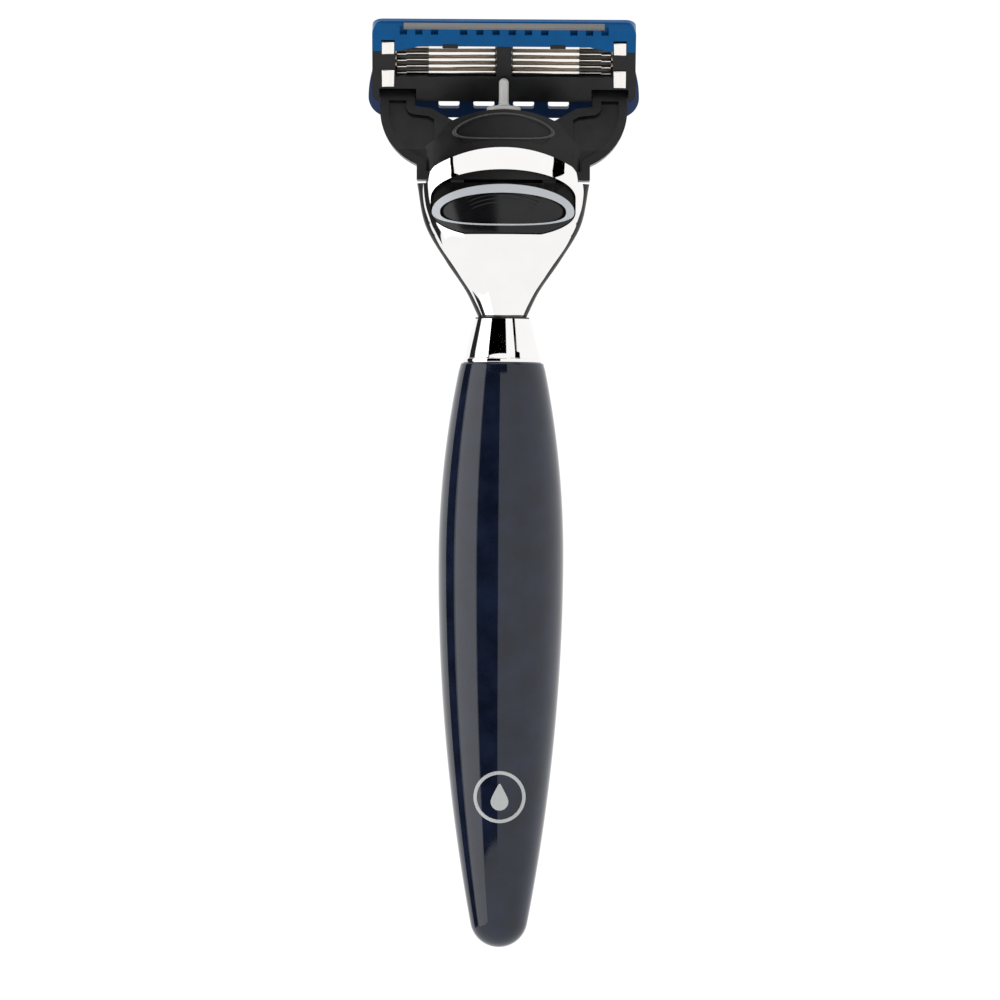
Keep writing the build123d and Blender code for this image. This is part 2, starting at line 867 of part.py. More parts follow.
guard_half = guard_width / 2
wing_inner = clip_centre + clip_width / 2 + 2 * fit_gap
with BuildPart() as guard:
    with BuildSketch(back.offset(-housing_depth)):
        with BuildLine():
            wing = Spline(
                (housing_half, guard_wing_top),
                (guard_half, guard_bottom + guard_corner),
                tangents=[(0.25, -1), (0, -1)],
            )
            turn = RadiusArc(wing @ 1, (guard_half - guard_corner, guard_bottom), guard_corner)
            Polyline(
                turn @ 1,
                (0, guard_bottom),
                (0, guard_top),
                (wing_inner, guard_top),
                (wing_inner, guard_wing_top),
                (housing_half, guard_wing_top),
            )
        make_face()
        mirror(about=Plane.YZ)
        for offset_x in guard_window_offsets:
            for hand in (-1, 1):
                with Locations((hand * offset_x, (guard_window_bottom + guard_window_top) / 2)):
                    RectangleRounded(
                        guard_window_width,
                        guard_window_top - guard_window_bottom,
                        guard_window_corner,
                        mode=Mode.SUBTRACT,
                    )
    extrude(amount=-guard_depth)
save(guard.part, "guard")

guard_face = housing_depth + guard_depth
with BuildPart() as guard_fins:
    with Locations(on_cartridge(0, fin_bottom, guard_face)):
        Box(
            fin_length,
            (fin_count - 1) * fin_pitch + fin_thickness,
            fin_base,
            align=(Align.CENTER, Align.MIN, Align.MAX),
        )
    for index in range(fin_count):
        with Locations(on_cartridge(0, fin_bottom + index * fin_pitch, guard_face + fin_base)):
            Box(fin_length, fin_thickness, fin_height, align=(Align.CENTER, Align.MIN, Align.MAX))
save(guard_fins.part, "guard_fins")

# ---------------------------------------------------------------- rear cap, trimmer blade and gel strip

slope_run = cap_nose_in - cap_ridge_front
slope_fall = cap_ridge_height - cap_nose_height
slope_length = hypot(slope_run, slope_fall)
strip_normal = inward * (slope_fall / slope_length) + upward * (slope_run / slope_length)
strip_centre = (
    cartridge_origin
    + inward * ((cap_nose_in + cap_ridge_front) / 2)
    + upward * ((cap_ridge_height + cap_nose_height) / 2)
)
strip_floor = Plane(
    origin=strip_centre - strip_normal * (strip_thickness - strip_proud), x_dir=(1, 0, 0), z_dir=strip_normal
)
shelf_run = cap_ridge_back + cap_skin
shelf_rise = cap_shelf_front - cap_shelf_back
shelf_length = hypot(shelf_run, shelf_rise)
shelf_normal = upward * (shelf_run / shelf_length) - inward * (shelf_rise / shelf_length)
shelf = Plane(
    origin=cartridge_origin
    + inward * ((cap_ridge_back - cap_skin) / 2)
    + upward * ((cap_shelf_back + cap_shelf_front) / 2),
    x_dir=(1, 0, 0),
    z_dir=shelf_normal,
)

with BuildPart() as rear_cap:
    with BuildSketch(section):
        with BuildLine():
            Polyline(
                (-cap_skin, housing_top),
                (-cap_skin, cap_shelf_back),
                (cap_ridge_back, cap_shelf_front),
                (cap_ridge_back, cap_ridge_height),
                (cap_ridge_front, cap_ridge_height),
                (cap_nose_in, cap_nose_height),
                (cap_nose_in, housing_top),
                close=True,
            )
        make_face()
    extrude(amount=housing_half, both=True)
    with BuildSketch(back):
        for hand in (-1, 1):
            with BuildLine():
                Polyline(
                    (hand * cap_skirt_start, housing_top),
                    (hand * cap_skirt_end, housing_top - cap_skirt_drop),
                    (hand * housing_half, housing_top - cap_skirt_drop),
                    (hand * housing_half, housing_top),
                    close=True,
                )
            make_face()
    extrude(amount=cap_skin)
    with BuildSketch(back.offset(cap_skin)):
        with BuildLine():
            skirt_low = housing_top - cap_skirt_drop
            Polyline(
                (-housing_half, skirt_low),
                (housing_half, skirt_low),
                (housing_half, cap_ridge_height),
                (-housing_half, cap_ridge_height),
                close=True,
            )
        make_face()
        fillet(vertices().sort_by(Axis.Y)[-2:], cap_corner)
    extrude(amount=-(cap_nose_in + cap_skin), mode=Mode.INTERSECT)
    with Locations(on_cartridge(0, housing_top, tongue_in - fit_gap)):
        Box(
            housing_width - 2 * housing_corner + 2 * fit_gap,
            tongue_height + fit_gap,
            tongue_out - tongue_in + 2 * fit_gap,
            align=(Align.CENTER, Align.MIN, Align.MAX),
            mode=Mode.SUBTRACT,
        )
    for hand in (-1, 1):
        with Locations(on_cartridge(hand * clip_centre, clip_top - clip_upper_fold - fit_gap, -cap_skin)):
            Box(
                clip_slot_width,
                cap_clip_notch - clip_top + clip_upper_fold,
                cap_nose_in + cap_skin,
                align=(Align.CENTER, Align.MIN, Align.MAX),
                mode=Mode.SUBTRACT,
            )
        for offset_x in comb_slot_offsets:
            with Locations(on_cartridge(hand * offset_x, comb_slot_bottom, -cap_skin)):
                Box(
                    comb_slot_width,
                    cap_shelf_front,
                    comb_slot_depth,
                    align=(Align.CENTER, Align.MIN, Align.MAX),
                    mode=Mode.SUBTRACT,
                )
    with Locations(strip_floor):
        Box(
            strip_length + 2 * fit_gap,
            strip_width + 2 * fit_gap,
            strip_thickness,
            align=(Align.CENTER, Align.CENTER, Align.MIN),
            mode=Mode.SUBTRACT,
        )
save(rear_cap.part, "rear_cap")

with BuildPart() as trimmer_blade:
    with Locations(shelf):
        Box(trimmer_length, trimmer_width, trimmer_thickness, align=(Align.CENTER, Align.CENTER, Align.MIN))
    back_edge = trimmer_blade.edges().filter_by(Axis.X).group_by(Axis.Y)[0].sort_by(Axis.Z)[-1]
    chamfer(back_edge, trimmer_bevel_depth, trimmer_bevel_width)
save(trimmer_blade.part, "trimmer_blade")

with BuildPart() as lubricating_strip:
    with Locations(strip_floor):
        Box(strip_length, strip_width, strip_thickness, align=(Align.CENTER, Align.CENTER, Align.MIN))
    strip_axis = Axis(origin=strip_floor.origin, direction=strip_floor.z_dir)
    fillet(lubricating_strip.faces().sort_by(strip_axis)[-1].edges(), strip_round)
save(lubricating_strip.part, "lubricating_strip")
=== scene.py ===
"""A cartridge razor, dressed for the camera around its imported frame. Metres throughout."""

from math import asin, cos, pi, radians, sin, sqrt

import bpy
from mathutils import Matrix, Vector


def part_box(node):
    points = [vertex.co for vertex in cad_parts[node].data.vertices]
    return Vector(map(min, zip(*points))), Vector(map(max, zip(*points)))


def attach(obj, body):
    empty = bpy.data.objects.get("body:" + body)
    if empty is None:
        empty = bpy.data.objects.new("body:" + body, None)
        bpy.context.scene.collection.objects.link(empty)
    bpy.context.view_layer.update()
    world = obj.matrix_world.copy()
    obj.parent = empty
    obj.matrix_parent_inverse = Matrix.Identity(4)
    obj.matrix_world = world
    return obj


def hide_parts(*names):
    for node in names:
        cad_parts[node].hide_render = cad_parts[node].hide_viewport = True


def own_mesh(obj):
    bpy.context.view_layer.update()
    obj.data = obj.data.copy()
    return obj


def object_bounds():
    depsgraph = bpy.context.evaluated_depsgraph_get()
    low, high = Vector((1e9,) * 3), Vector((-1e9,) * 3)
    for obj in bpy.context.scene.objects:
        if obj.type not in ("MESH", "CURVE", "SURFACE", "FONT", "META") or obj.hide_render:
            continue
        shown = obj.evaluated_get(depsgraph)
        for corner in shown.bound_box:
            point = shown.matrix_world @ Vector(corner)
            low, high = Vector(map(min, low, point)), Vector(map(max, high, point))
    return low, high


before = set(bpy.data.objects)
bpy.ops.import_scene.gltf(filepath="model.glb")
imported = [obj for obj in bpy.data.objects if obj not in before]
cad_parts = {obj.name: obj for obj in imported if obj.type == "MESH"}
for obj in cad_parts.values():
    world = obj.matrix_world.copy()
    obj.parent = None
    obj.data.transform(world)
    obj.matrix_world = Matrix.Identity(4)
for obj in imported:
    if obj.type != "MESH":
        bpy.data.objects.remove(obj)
cad_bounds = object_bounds()

# ------------------------------------------------------------------ camera
# A long lens square-on to the back of the razor, level with the middle of its height,
# so that the handle and the cartridge are both seen nearly without perspective.
view_height = 0.15267
camera_lens = 250.0
camera_sensor = 36.0
camera_distance = view_height * camera_lens / camera_sensor
camera_middle = -0.02785
camera_offset = -0.0002
razor_lean = radians(-0.35)
bpy.ops.object.select_all(action="DESELECT")
bpy.ops.object.camera_add(
    location=(camera_offset, -camera_distance, camera_middle), rotation=(pi / 2, razor_lean, 0)
)
camera = bpy.context.object
camera.data.lens = camera_lens
camera.data.sensor_width = camera_sensor
camera.data.clip_start = 0.01
camera.data.clip_end = 30
bpy.context.scene.camera = camera
bpy.context.scene.view_settings.view_transform = "Standard"

# ------------------------------------------------------------------ handle grip
# One piece of cast resin, turned to a spindle on a lathe and buffed to a high gloss.
# It is glued over the brass insert and butts against the ferrule's lip.
grip_low, grip_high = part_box("handle_grip")
grip_belly = grip_high[0]
grip_belly_height = -0.037
grip_shoulder = 0.00637
grip_tip_radius = 0.0044
grip_round = 0.0003
tip_rings = 12
belly_rings = 40
shoulder_rings = 24
edge_rings = 4


def turn(name, stations, facets=144):
    """A round or oval piece grown ring by ring; a station is a height, half width and half depth."""
    bpy.ops.object.select_all(action="DESELECT")
    height, wide, deep = stations[0]
    bpy.ops.mesh.primitive_circle_add(
        vertices=facets, radius=wide, fill_type="NGON", location=(0, 0, height)
    )
    bpy.ops.object.transform_apply(location=True, rotation=True, scale=True)
    piece = bpy.context.object
    piece.name = name
    bpy.ops.object.mode_set(mode="EDIT")
    bpy.ops.mesh.select_all(action="SELECT")
    bpy.ops.transform.resize(value=(1, deep / wide, 1), center_override=(0, 0, height))
    for next_height, next_wide, next_deep in stations[1:]:
        bpy.ops.mesh.extrude_region_move(
            TRANSFORM_OT_translate={"value": (0, 0, next_height - height)}
        )
        bpy.ops.transform.resize(
            value=(next_wide / wide, next_deep / deep, 1), center_override=(0, 0, next_height)
        )
        height, wide, deep = next_height, next_wide, next_deep
    bpy.ops.mesh.select_all(action="SELECT")
    bpy.ops.mesh.normals_make_consistent(inside=False)
    bpy.ops.object.mode_set(mode="OBJECT")
    bpy.ops.object.shade_smooth_by_angle(angle=radians(35))
    return piece


tip_centre = grip_low[2] + grip_tip_radius
belly_drop = grip_belly_height - tip_centre
belly_arc = (belly_drop**2 + grip_belly**2 - grip_tip_radius**2) / (
    2 * (grip_belly - grip_tip_radius)
)
belly_turn = asin(belly_drop / (belly_arc - grip_tip_radius))
shoulder_rise = grip_high[2] - grip_belly_height
shoulder_inset = grip_belly - grip_shoulder
shoulder_arc = (shoulder_rise**2 + shoulder_inset**2) / (2 * shoulder_inset)
shoulder_turn = asin(shoulder_rise / shoulder_arc)


def grip_radius_at(height):
    """The grip's radius at a height between its tip's arc and its shoulder."""
    arc = belly_arc if height < grip_belly_height else shoulder_arc
    return grip_belly - arc + sqrt(arc**2 - (height - grip_belly_height) ** 2)


grip_profile = []
for step in range(1, tip_rings + 1):
    angle = -pi / 2 + (pi / 2 - belly_turn) * step / tip_rings
    grip_profile.append((tip_centre + grip_tip_radius * sin(angle), grip_tip_radius * cos(angle)))
for step in range(1, belly_rings + 1):
    height = grip_belly_height - belly_arc * sin(belly_turn * (1 - step / belly_rings))
    grip_profile.append((height, grip_radius_at(height)))
for step in range(1, shoulder_rings):
    height = grip_belly_height + shoulder_arc * sin(shoulder_turn * step / shoulder_rings)
    grip_profile.append((height, grip_radius_at(height)))
for step in range(edge_rings + 1):
    angle = pi / 2 * step / edge_rings
    height = grip_high[2] - grip_round * (1 - sin(angle))
    grip_profile.append((height, grip_shoulder - grip_round * (1 - cos(angle))))
grip = turn("grip", [(height, radius, radius) for height, radius in grip_profile])


def finish(
    name, base, metallic=0.0, roughness=0.3, spread=0.08, grain=0.2, grain_size=3000.0, mottle=0.08,
    stretch=(1, 1, 1), specular=0.5
):
    """A finish with a mottled colour, an uneven roughness and a fine grain."""
    mottle_size = 260.0
    wear_size = 420.0
    noise_low = 0.3
    noise_high = 0.7
    grain_depth = 0.00004
    material = bpy.data.materials.new(name)
    material.use_nodes = True
    tree = material.node_tree
    shader = tree.nodes["Principled BSDF"]
    shader.inputs["Metallic"].default_value = metallic
    shader.inputs["Specular IOR Level"].default_value = specular
    place = tree.nodes.new("ShaderNodeTexCoord")
    mapping = tree.nodes.new("ShaderNodeMapping")
    mapping.inputs["Scale"].default_value = stretch
    tree.links.new(place.outputs["Object"], mapping.inputs["Vector"])

    def noise(size, detail):
        cloud = tree.nodes.new("ShaderNodeTexNoise")
        cloud.inputs["Scale"].default_value = size
        cloud.inputs["Detail"].default_value = detail
        tree.links.new(mapping.outputs["Vector"], cloud.inputs["Vector"])
        return cloud.outputs["Fac"]

    tint = tree.nodes.new("ShaderNodeValToRGB")
    tint.color_ramp.elements[0].position = noise_low
    tint.color_ramp.elements[1].position = noise_high
    tint.color_ramp.elements[0].color = (*[channel * (1 - mottle) for channel in base], 1)
    tint.color_ramp.elements[1].color = (*[min(1.0, channel * (1 + mottle)) for channel in base], 1)
    tree.links.new(noise(mottle_size, 5.0), tint.inputs["Fac"])
    tree.links.new(tint.outputs["Color"], shader.inputs["Base Color"])
    wear = tree.nodes.new("ShaderNodeMapRange")
    wear.inputs["From Min"].default_value = noise_low
    wear.inputs["From Max"].default_value = noise_high
    wear.inputs["To Min"].default_value = max(0.0, roughness - spread)
    wear.inputs["To Max"].default_value = roughness + spread
    tree.links.new(noise(wear_size, 6.0), wear.inputs["Value"])
    tree.links.new(wear.outputs["Result"], shader.inputs["Roughness"])
    bump = tree.nodes.new("ShaderNodeBump")
    bump.inputs["Strength"].default_value = grain
    bump.inputs["Distance"].default_value = grain_depth
    tree.links.new(noise(grain_size, 3.0), bump.inputs["Height"])
    tree.links.new(bump.outputs["Normal"], shader.inputs["Normal"])
    return material


def dress(piece, material):
    """Give a piece, or a node of the frame, one finish all over."""
    piece.data.materials.clear()
    piece.data.materials.append(material)


def dress_nodes(names, material):
    """Give several nodes of the frame the same finish."""
    for name in names:
        dress(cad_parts[name], material)


def fit(piece, body, slot, *nodes):
    """Let a piece ride with a body and stand for nodes of the frame; the slot is not used."""
    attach(piece, body)
    if nodes:
        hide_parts(*nodes)


resin = finish(
    "polished_resin", (0.0075, 0.0115, 0.027), roughness=0.05, spread=0.03, grain=0.02, mottle=0.4
)
dress(grip, resin)
fit(grip, "handle", "resin", "handle_grip")

# ------------------------------------------------------------------ emblem on the grip
# A plain ring round a water drop, printed in pale grey lacquer near the grip's tip.
# The lacquer follows the turned surface and stands a hair above it.
emblem_height = -0.0729
emblem_radius = 0.0037
emblem_line = 0.00026
emblem_proud = 0.00002
emblem_flatness = 0.2
drop_radius = 0.00135
drop_fall = 0.0007
drop_point = 0.0014
drop_taper = 0.55
drop_flatness = 0.18
bpy.ops.object.select_all(action="DESELECT")
bpy.ops.mesh.primitive_torus_add(
    major_segments=128, minor_segments=8, major_radius=emblem_radius, minor_radius=emblem_line,
    location=(0, 0, emblem_height), rotation=(pi / 2, 0, 0)
)
ring = bpy.context.object
bpy.ops.object.transform_apply(location=True, rotation=True, scale=True)
bpy.ops.mesh.primitive_uv_sphere_add(
    segments=48, ring_count=24, radius=drop_radius, location=(0, 0, emblem_height - drop_fall)
)
drop = bpy.context.object
bpy.ops.object.transform_apply(location=True, rotation=True, scale=True)
bpy.ops.object.mode_set(mode="EDIT")
bpy.ops.mesh.select_all(action="SELECT")
bpy.ops.transform.resize(value=(1, drop_flatness, 1), center_override=(0, 0, emblem_height))
bpy.ops.object.mode_set(mode="OBJECT")
for corner in drop.data.vertices:
    rise = (corner.co.z - emblem_height + drop_fall) / drop_radius
    if rise > 0:
        corner.co.z += drop_point * rise**2
        corner.co.x *= 1 - drop_taper * rise**2
ring.select_set(True)
bpy.context.view_layer.objects.active = ring
bpy.ops.object.join()
emblem = bpy.context.object
emblem.name = "emblem"
for corner in emblem.data.vertices:
    surface = sqrt(grip_radius_at(corner.co.z) ** 2 - corner.co.x**2)
    corner.co.y = -surface - emblem_proud + emblem_flatness * corner.co.y
bpy.ops.object.shade_smooth_by_angle(angle=radians(40))
lacquer = finish("pale_lacquer", (0.5, 0.52, 0.52), roughness=0.35, grain=0.1, mottle=0.05)
dress(emblem, lacquer)
fit(emblem, "handle", "grey_plastic")

# ------------------------------------------------------------------ insert, stud and springs
# Hidden metal: a ribbed brass insert glued in the grip, a turned steel stud, and two coils of spring
# wire.
brass = finish("machined_brass", (0.72, 0.5, 0.2), metallic=1.0, roughness=0.28)
steel = finish("turned_steel", (0.5, 0.5, 0.52), metallic=1.0, roughness=0.3)
dress_nodes(["grip_insert"], brass)
dress_nodes(["threaded_stud"], steel)


def tidy(piece):
    """Merge what meets, and turn every face outward."""
    bpy.ops.object.select_all(action="DESELECT")
    piece.select_set(True)
    bpy.context.view_layer.objects.active = piece
    bpy.ops.object.mode_set(mode="EDIT")
    bpy.ops.mesh.select_all(action="SELECT")
    bpy.ops.mesh.remove_doubles(threshold=0.000002)
    bpy.ops.mesh.normals_make_consistent(inside=False)
    bpy.ops.object.mode_set(mode="OBJECT")
    bpy.ops.object.shade_smooth_by_angle(angle=radians(35))


for spring, joint, still_end, stroke in (
    ("button_spring", "button_slide", "top", 0.0021),
    ("plunger_spring", "plunger_slide", "foot", 0.0033),
):
    coil = bpy.data.objects.new(f"{spring}_wire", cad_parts[spring].data.copy())
    bpy.context.collection.objects.link(coil)
    tidy(coil)
    dress(coil, steel)
    fit(coil, "handle", "steel", spring)
    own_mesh(coil)

# ------------------------------------------------------------------ ferrule and washer
# A brass cone turned with a narrow lip at its foot and plated with bright chrome,
# over a thin black washer that shows as a dark seam under the head.
ferrule_low, ferrule_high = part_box("ferrule")
ferrule_foot = ferrule_high[0]
ferrule_top = 0.00436
lip_height = 0.0007
lip_round = 0.00018
cone_rings = 12
chrome = finish(
    "bright_chrome", (0.9, 0.89, 0.885), metallic=1.0, roughness=0.03, spread=0.015, grain=0.004,
    mottle=0.015
)
ferrule_stations = [
    (ferrule_low[2], ferrule_foot - lip_round),
    (ferrule_low[2] + lip_round * 0.3, ferrule_foot - lip_round * 0.3),
    (ferrule_low[2] + lip_round, ferrule_foot),
    (ferrule_low[2] + lip_height - lip_round, ferrule_foot),
    (ferrule_low[2] + lip_height - lip_round * 0.3, ferrule_foot - lip_round * 0.25),
    (ferrule_low[2] + lip_height, ferrule_foot - lip_round * 0.8),
]
cone_foot = ferrule_foot - lip_round
cone_height = ferrule_high[2] - ferrule_low[2] - lip_height
for step in range(1, cone_rings + 1):
    share = step / cone_rings
    height = ferrule_low[2] + lip_height + cone_height * share
    ferrule_stations.append((height, cone_foot + (ferrule_top - cone_foot) * share))
ferrule = turn("ferrule_cone", [(height, radius, radius) for height, radius in ferrule_stations])
dress(ferrule, chrome)
fit(ferrule, "handle", "chrome", "ferrule")

# ------------------------------------------------------------------ head shells
# Two chromed castings clasp the black core: the rear one bulges round the button's opening
# and ends in an arch against the yoke, and its neck scoops in before it meets the ferrule.
# Stations are in millimetres: a height, and the half width and half depth there.
shell_crown = 0.0258
shell_end = 0.0214
shell_half_span = 0.0127
shell_middle = 0.013
rear_stations = [
    (0.0, 3.45, 3.4), (2.0, 4.3, 3.86), (4.0, 5.3, 4.34), (6.2, 6.75, 4.87), (8.5, 8.3, 5.42),
    (11.0, 9.95, 6.0), (13.2, 11.1, 6.52), (14.2, 11.5, 6.6), (17.0, 12.3, 6.6), (20.4, 12.6, 6.3),
    (23.2, 12.25, 5.45), (27.0, 11.4, 4.2),
]
front_stations = [
    (0.0, 3.3, 4.25), (4.0, 5.15, 5.2), (8.5, 8.2, 6.0), (14.0, 11.4, 6.6), (20.4, 12.7, 6.6),
]
core_stations = [
    (0.0, 3.65, 2.9), (4.0, 5.6, 3.2), (8.5, 8.65, 3.8), (14.0, 11.85, 4.4), (20.4, 13.15, 4.45),
]
core_cutter = [(-0.5, 3.4, 2.7), *core_stations[1:-1], (20.4, 13.1, 4.35), (28.0, 13.3, 4.35)]
skirt_foot = 0.0204
skirt_half_width = 0.0135
skirt_half_depth = 0.0046
shell_facets = 192
shell_smoothing = 8
beyond = 0.06


def smooth(stations, steps):
    """Stations in millimetres run through by a smooth curve, in metres."""
    filled = []
    last = len(stations) - 1
    for index in range(last):
        for step in range(steps):
            share = step / steps
            mixed = []
            span = stations[index + 1][0] - stations[index][0]
            for axis in (0, 1, 2):
                start, end = stations[index][axis], stations[index + 1][axis]
                before, after = stations[max(index - 1, 0)], stations[min(index + 2, last)]
                lean_in = (end - before[axis]) / (stations[index + 1][0] - before[0]) * span
                lean_out = (after[axis] - start) / (after[0] - stations[index][0]) * span
                mixed.append(
                    start * (2 * share**3 - 3 * share**2 + 1)
                    + lean_in * (share**3 - 2 * share**2 + share)
                    + end * (3 * share**2 - 2 * share**3)
                    + lean_out * (share**3 - share**2)
                )
            filled.append(tuple(value / 1000 for value in mixed))
    filled.append(tuple(value / 1000 for value in stations[last]))
    return filled


def carve(piece, tool, operation="DIFFERENCE"):
    """Cut a tool out of a piece, or keep or add what they share, and put the tool away."""
    bpy.ops.object.select_all(action="DESELECT")
    piece.select_set(True)
    bpy.context.view_layer.objects.active = piece
    change = piece.modifiers.new("carve", "BOOLEAN")
    change.operation = operation
    change.object = tool
    change.solver = "EXACT"
    bpy.ops.object.modifier_apply(modifier=change.name)
    bpy.data.objects.remove(tool, do_unlink=True)


def copy_of(piece):
    """A copy of a piece with a mesh of its own."""
    twin = piece.copy()
    twin.data = piece.data.copy()
    bpy.context.collection.objects.link(twin)
    return twin


def block(centre, size, turned=0.0):
    """A rectangular block, turned about X."""
    bpy.ops.object.select_all(action="DESELECT")
    bpy.ops.mesh.primitive_cube_add(size=1.0, location=(0, 0, 0))
    made = bpy.context.object
    made.scale = size
    made.rotation_euler = (turned, 0, 0)
    made.location = centre
    bpy.ops.object.transform_apply(location=True, rotation=True, scale=True)
    return made


def arch(radius, height, depth=0.03):
    """A round bar along Y whose top stands at a height."""
    bpy.ops.object.select_all(action="DESELECT")
    bpy.ops.mesh.primitive_cylinder_add(
        vertices=360, radius=radius, depth=depth, location=(0, 0, height - radius),
        rotation=(pi / 2, 0, 0)
    )
    bpy.ops.object.transform_apply(location=True, rotation=True, scale=True)
    return bpy.context.object


def soften(piece, width, segments=3, angle=35):
    """Round a piece's sharp edges."""
    bpy.ops.object.select_all(action="DESELECT")
    piece.select_set(True)
    bpy.context.view_layer.objects.active = piece
    edge = piece.modifiers.new("soften", "BEVEL")
    edge.width = width
    edge.segments = segments
    edge.limit_method = "ANGLE"
    edge.angle_limit = radians(angle)
    edge.use_clamp_overlap = True
    bpy.ops.object.modifier_apply(modifier=edge.name)
    bpy.ops.object.shade_smooth_by_angle(angle=radians(35))


button_centre = 0.016
button_half = 0.01085
button_rise = 0.0041
button_drop = 0.0039
button_foot = 0.0127
button_travel = 0.0021
opening_clearance = 0.0002
cut_tolerance = 0.0000001
seat_half_width = 0.0134
seat_half_depth = 0.00435


def oval_bar(half_width, rise, drop, fullness=2.0):
    """A bar along Y: half an ellipse above the button's centre, and a fuller half oval below."""
    bpy.ops.object.select_all(action="DESELECT")
    bpy.ops.mesh.primitive_cylinder_add(
        vertices=240, radius=1.0, depth=0.012, location=(0, -0.0065, 0), rotation=(pi / 2, 0, 0)
    )
    bpy.ops.object.transform_apply(location=True, rotation=True, scale=True)
    bar = bpy.context.object
    for corner in bar.data.vertices:
        across, up, fuller = corner.co.x, corner.co.z, 1.0
        if up < 0:
            fuller = (abs(across) ** fullness + abs(up) ** fullness) ** (-1 / fullness)
        corner.co.x = half_width * across * fuller
        corner.co.z = button_centre + (rise if up > 0 else drop) * up * fuller
    return bar


def button_bar(growth):
    """A bar with the button's outline, an oval with a flat foot."""
    bar = oval_bar(button_half + growth, button_rise + growth, button_drop + growth)
    bpy.ops.object.mode_set(mode="EDIT")
    bpy.ops.mesh.select_all(action="SELECT")
    bpy.ops.mesh.bisect(
        plane_co=(0, 0, button_foot - growth), plane_no=(0, 0, -1), use_fill=True, clear_outer=True,
        threshold=cut_tolerance
    )
    bpy.ops.object.mode_set(mode="OBJECT")
    tidy(bar)
    return bar


def seat_bar(growth):
    """The upright oval bar on which the button rides."""
    half_width = seat_half_width + growth
    half_depth = seat_half_depth + growth
    return turn("seat", [(-0.001, half_width, half_depth), (0.03, half_width, half_depth)])


def keep_half(piece, side):
    """Keep the half of a shell that lies behind (-1) or before (1) the razor's middle plane."""
    carve(piece, block((0, -side * beyond / 3, shell_middle), (beyond, beyond * 2 / 3, beyond)))


opening = button_bar(opening_clearance)
raised = copy_of(opening)
raised.location.z = button_travel
bpy.ops.object.select_all(action="DESELECT")
raised.select_set(True)
opening.select_set(True)
bpy.context.view_layer.objects.active = opening
bpy.ops.object.join()
bpy.ops.object.mode_set(mode="EDIT")
bpy.ops.mesh.select_all(action="SELECT")
bpy.ops.mesh.convex_hull()
bpy.ops.object.mode_set(mode="OBJECT")
carve(opening, seat_bar(0.0))

rear_shell = turn("rear_shell", smooth(rear_stations, shell_smoothing), facets=shell_facets)
shell_drop = shell_crown - shell_end
shell_arc = (shell_half_span**2 + shell_drop**2) / (2 * shell_drop)
keep_half(rear_shell, -1)
carve(rear_shell, arch(shell_arc, shell_crown, depth=beyond), "INTERSECT")
carve(rear_shell, turn("core", smooth(core_cutter, shell_smoothing)))
skirt_stations = [(level, skirt_half_width, skirt_half_depth) for level in (skirt_foot, beyond)]
carve(rear_shell, turn("skirt", skirt_stations))
carve(rear_shell, copy_of(opening))
tidy(rear_shell)
dress(rear_shell, chrome)
# The chrome walls of the button's opening are painted near black: painted shade in the gap round the
# button.
opening_painted_shade = finish(
    "opening_painted_shade", (0.006, 0.006, 0.006), roughness=0.4, specular=0.2, mottle=0.3
)
rear_shell.data.materials.append(opening_painted_shade)
recess_low = 0.0124
recess_high = 0.0227
recess_half = 0.0113
recess_edge = 0.00012
rear_rings = smooth(rear_stations, shell_smoothing)
for face in rear_shell.data.polygons:
    middle = face.center
    if recess_low < middle.z < recess_high and abs(middle.x) < recess_half:
        ring_here = min(rear_rings, key=lambda ring: abs(ring[0] - middle.z))
        surface = ring_here[2] * sqrt(1 - (middle.x / ring_here[1]) ** 2)
        if -middle.y < surface - recess_edge:
            face.material_index = 1
fit(rear_shell, "handle", "chrome", "head_shell_rear")

front_shell = turn("front_shell", smooth(front_stations, shell_smoothing), facets=shell_facets)
keep_half(front_shell, 1)
carve(front_shell, turn("core", smooth(core_cutter, shell_smoothing)))
tidy(front_shell)
dress(front_shell, chrome)
fit(front_shell, "handle", "chrome", "head_shell_front")

# ------------------------------------------------------------------ eject button and slider
# A moulded black button with a rim round a dished thumb rest, which carries fine moulded grip arcs;
# it slides up in the shell's opening on a flat black slider. The rim is coloured pale grey as a
# painted reflection of the soft light on the button's glossy bevel.
button_proud = 0.29
rim_proud = 0.35
rim_bed = 0.1
dish_sunk = -0.2
seat_clearance = 0.0001
gloss_black = finish(
    "gloss_black", (0.008, 0.008, 0.009), roughness=0.16, spread=0.05, grain=0.05, mottle=0.3,
    specular=0.35
)
# Pale grey for the rim: a painted reflection of the soft light on the glossy black bevel.
rim_painted_reflection = finish(
    "rim_painted_reflection", (0.52, 0.55, 0.58), roughness=0.3, spread=0.05, grain=0.03, mottle=0.04
)
dish_outline = (0.0096, 0.0028, 0.00195, 2.8)
rim_outline = (button_half, button_rise, 0.0022, 2.5)


def shell_level(raised):
    """A solid whose surface lies a few tenths of a millimetre above or below the rear shell's."""
    stations = [(height, wide + raised, deep + raised) for height, wide, deep in rear_stations]
    return turn("shell_level", smooth(stations, 6))


def dish_bar():
    """What the dish takes out of the button and its rim."""
    dish = oval_bar(*dish_outline)
    carve(dish, shell_level(dish_sunk))
    return dish


button = button_bar(0.0)
carve(button, shell_level(button_proud), "INTERSECT")
carve(button, seat_bar(seat_clearance))
carve(button, dish_bar())
tidy(button)
soften(button, 0.00022, segments=3, angle=40)
dress(button, gloss_black)
fit(button, "button", "gloss_black", "ejector_button")

rim = oval_bar(*rim_outline)
carve(rim, shell_level(rim_proud), "INTERSECT")
carve(rim, shell_level(rim_bed))
carve(rim, dish_bar())
tidy(rim)
soften(rim, 0.00005, segments=2, angle=40)
rim.name = "button_rim"
# The rim takes the pale grey painted reflection rather than the button's gloss black.
dress(rim, rim_painted_reflection)
fit(rim, "button", "grey_plastic")

